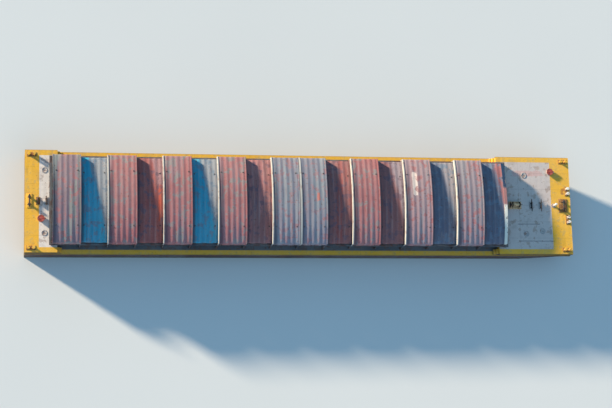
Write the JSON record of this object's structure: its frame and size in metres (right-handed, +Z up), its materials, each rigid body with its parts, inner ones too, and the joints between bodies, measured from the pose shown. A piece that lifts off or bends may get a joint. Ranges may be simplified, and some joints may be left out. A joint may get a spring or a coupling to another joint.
{
  "type": "river hopper barge, 1:2 scale model",
  "caption": "River cargo barge with a raked bow, a box stern and rolling arched hatch covers over an open hopper hold, as a half-scale model.",
  "frame": {"origin": "centre of the bounding box at the flat bottom, amidships on the centreline", "axes": "+X towards the raked bow, +Y to port, +Z up"},
  "size_m": [30, 5.5, 3.14],
  "materials": {
    "hull_paint": "weathered dark hull paint with rust and scrapes",
    "coaming_paint": "worn grey paint, rust at the stays",
    "cover_red": "faded red oxide paint, dusty, with rust and grey patches",
    "cover_blue": "faded blue grey paint, dusty",
    "cover_pale": "pale grey paint, chalked",
    "cover_mauve": "grey paint worn to red oxide",
    "bitt_yellow": "yellow safety paint, rope worn",
    "post_white": "white paint, dirty at the foot",
    "fitting_black": "black paint, worn to steel at the edges",
    "winch_steel": "dark grey paint, greasy",
    "deck_paint": "light grey deck paint, scuffed",
    "lid_red": "red paint, chipped at the rim"
  },
  "bodies": {
    "hull": {"hull_bow_block": "hull_paint", "hull_stern_block": "hull_paint", "wing_tank_port": "hull_paint", "wing_tank_starboard": "hull_paint", "double_bottom": "hull_paint", "coaming_port": "coaming_paint", "coaming_starboard": "coaming_paint", "coaming_fore": "coaming_paint", "coaming_aft": "coaming_paint", "bitts_bow_port": "bitt_yellow", "bitts_bow_starboard": "bitt_yellow", "bitts_stern_port": "bitt_yellow", "bitts_stern_starboard": "bitt_yellow", "bitts_headlog_port": "post_white", "bitts_headlog_starboard": "post_white", "deck_post_centre": "post_white", "kevel_fore_inner": "fitting_black", "kevel_fore_outer": "fitting_black", "kevel_stern_inner": "fitting_black", "kevel_stern_outer": "fitting_black", "tow_bitt_bow": "fitting_black", "tow_bitt_stern": "fitting_black", "winch_frame": "winch_steel", "access_hatch_bow_trunk": "deck_paint", "access_hatch_stern_trunk": "deck_paint"},
    "cover_01": {"cover_01_high": "cover_mauve"},
    "cover_02": {"cover_02_low": "cover_blue"},
    "cover_03": {"cover_03_high": "cover_red"},
    "cover_04": {"cover_04_low": "cover_red"},
    "cover_05": {"cover_05_high": "cover_red"},
    "cover_06": {"cover_06_low": "cover_blue"},
    "cover_07": {"cover_07_high": "cover_red"},
    "cover_08": {"cover_08_low": "cover_red"},
    "cover_09": {"cover_09_high": "cover_pale"},
    "cover_10": {"cover_10_high": "cover_pale"},
    "cover_11": {"cover_11_low": "cover_red"},
    "cover_12": {"cover_12_high": "cover_red"},
    "cover_13": {"cover_13_low": "cover_red"},
    "cover_14": {"cover_14_high": "cover_mauve"},
    "cover_15": {"cover_15_low": "cover_blue"},
    "cover_16": {"cover_16_high": "cover_mauve"},
    "cover_17": {"cover_17_low": "cover_blue"},
    "winch_drum": {"winch_drum": "winch_steel"},
    "hatch_lid_bow": {"access_hatch_bow_lid": "lid_red"},
    "hatch_lid_stern": {"access_hatch_stern_lid": "lid_red"}
  },
  "joints": [
    {"name": "cover_01_slide", "type": "slide", "parent": "hull", "child": "cover_01", "axis": [1, 0, 0], "range_m": [0, 1.35]},
    {"name": "cover_02_slide", "type": "slide", "parent": "hull", "child": "cover_02", "axis": [1, 0, 0], "range_m": [-1.35, 1.35]},
    {"name": "cover_03_slide", "type": "slide", "parent": "hull", "child": "cover_03", "axis": [1, 0, 0], "range_m": [-1.35, 1.35]},
    {"name": "cover_04_slide", "type": "slide", "parent": "hull", "child": "cover_04", "axis": [1, 0, 0], "range_m": [-1.35, 1.35]},
    {"name": "cover_05_slide", "type": "slide", "parent": "hull", "child": "cover_05", "axis": [1, 0, 0], "range_m": [-1.35, 1.35]},
    {"name": "cover_06_slide", "type": "slide", "parent": "hull", "child": "cover_06", "axis": [1, 0, 0], "range_m": [-1.35, 1.35]},
    {"name": "cover_07_slide", "type": "slide", "parent": "hull", "child": "cover_07", "axis": [1, 0, 0], "range_m": [-1.35, 1.35]},
    {"name": "cover_08_slide", "type": "slide", "parent": "hull", "child": "cover_08", "axis": [1, 0, 0], "range_m": [-1.35, 2.8]},
    {"name": "cover_09_slide", "type": "slide", "parent": "hull", "child": "cover_09", "axis": [1, 0, 0], "range_m": [-1.35, 0]},
    {"name": "cover_10_slide", "type": "slide", "parent": "hull", "child": "cover_10", "axis": [1, 0, 0], "range_m": [0, 1.35]},
    {"name": "cover_11_slide", "type": "slide", "parent": "hull", "child": "cover_11", "axis": [1, 0, 0], "range_m": [-2.8, 1.35]},
    {"name": "cover_12_slide", "type": "slide", "parent": "hull", "child": "cover_12", "axis": [1, 0, 0], "range_m": [-1.35, 1.35]},
    {"name": "cover_13_slide", "type": "slide", "parent": "hull", "child": "cover_13", "axis": [1, 0, 0], "range_m": [-1.35, 1.35]},
    {"name": "cover_14_slide", "type": "slide", "parent": "hull", "child": "cover_14", "axis": [1, 0, 0], "range_m": [-1.35, 1.35]},
    {"name": "cover_15_slide", "type": "slide", "parent": "hull", "child": "cover_15", "axis": [1, 0, 0], "range_m": [-1.35, 1.35]},
    {"name": "cover_16_slide", "type": "slide", "parent": "hull", "child": "cover_16", "axis": [1, 0, 0], "range_m": [-1.35, 1.35]},
    {"name": "cover_17_slide", "type": "slide", "parent": "hull", "child": "cover_17", "axis": [1, 0, 0], "range_m": [-1.35, 0]},
    {"name": "winch_drum_turn", "type": "hinge", "parent": "hull", "child": "winch_drum", "pos_m": [11.75, 0, 2.225], "axis": [1, 0, 0], "continuous": true},
    {"name": "hatch_lid_bow_swing", "type": "hinge", "parent": "hull", "child": "hatch_lid_bow", "pos_m": [14.07, 1.9, 2.1128], "axis": [0, 1, 0], "range_deg": [0, 110]},
    {"name": "hatch_lid_stern_swing", "type": "hinge", "parent": "hull", "child": "hatch_lid_stern", "pos_m": [-13.93, -0.95, 2.1128], "axis": [0, 1, 0], "range_deg": [0, 110]}
  ]
}
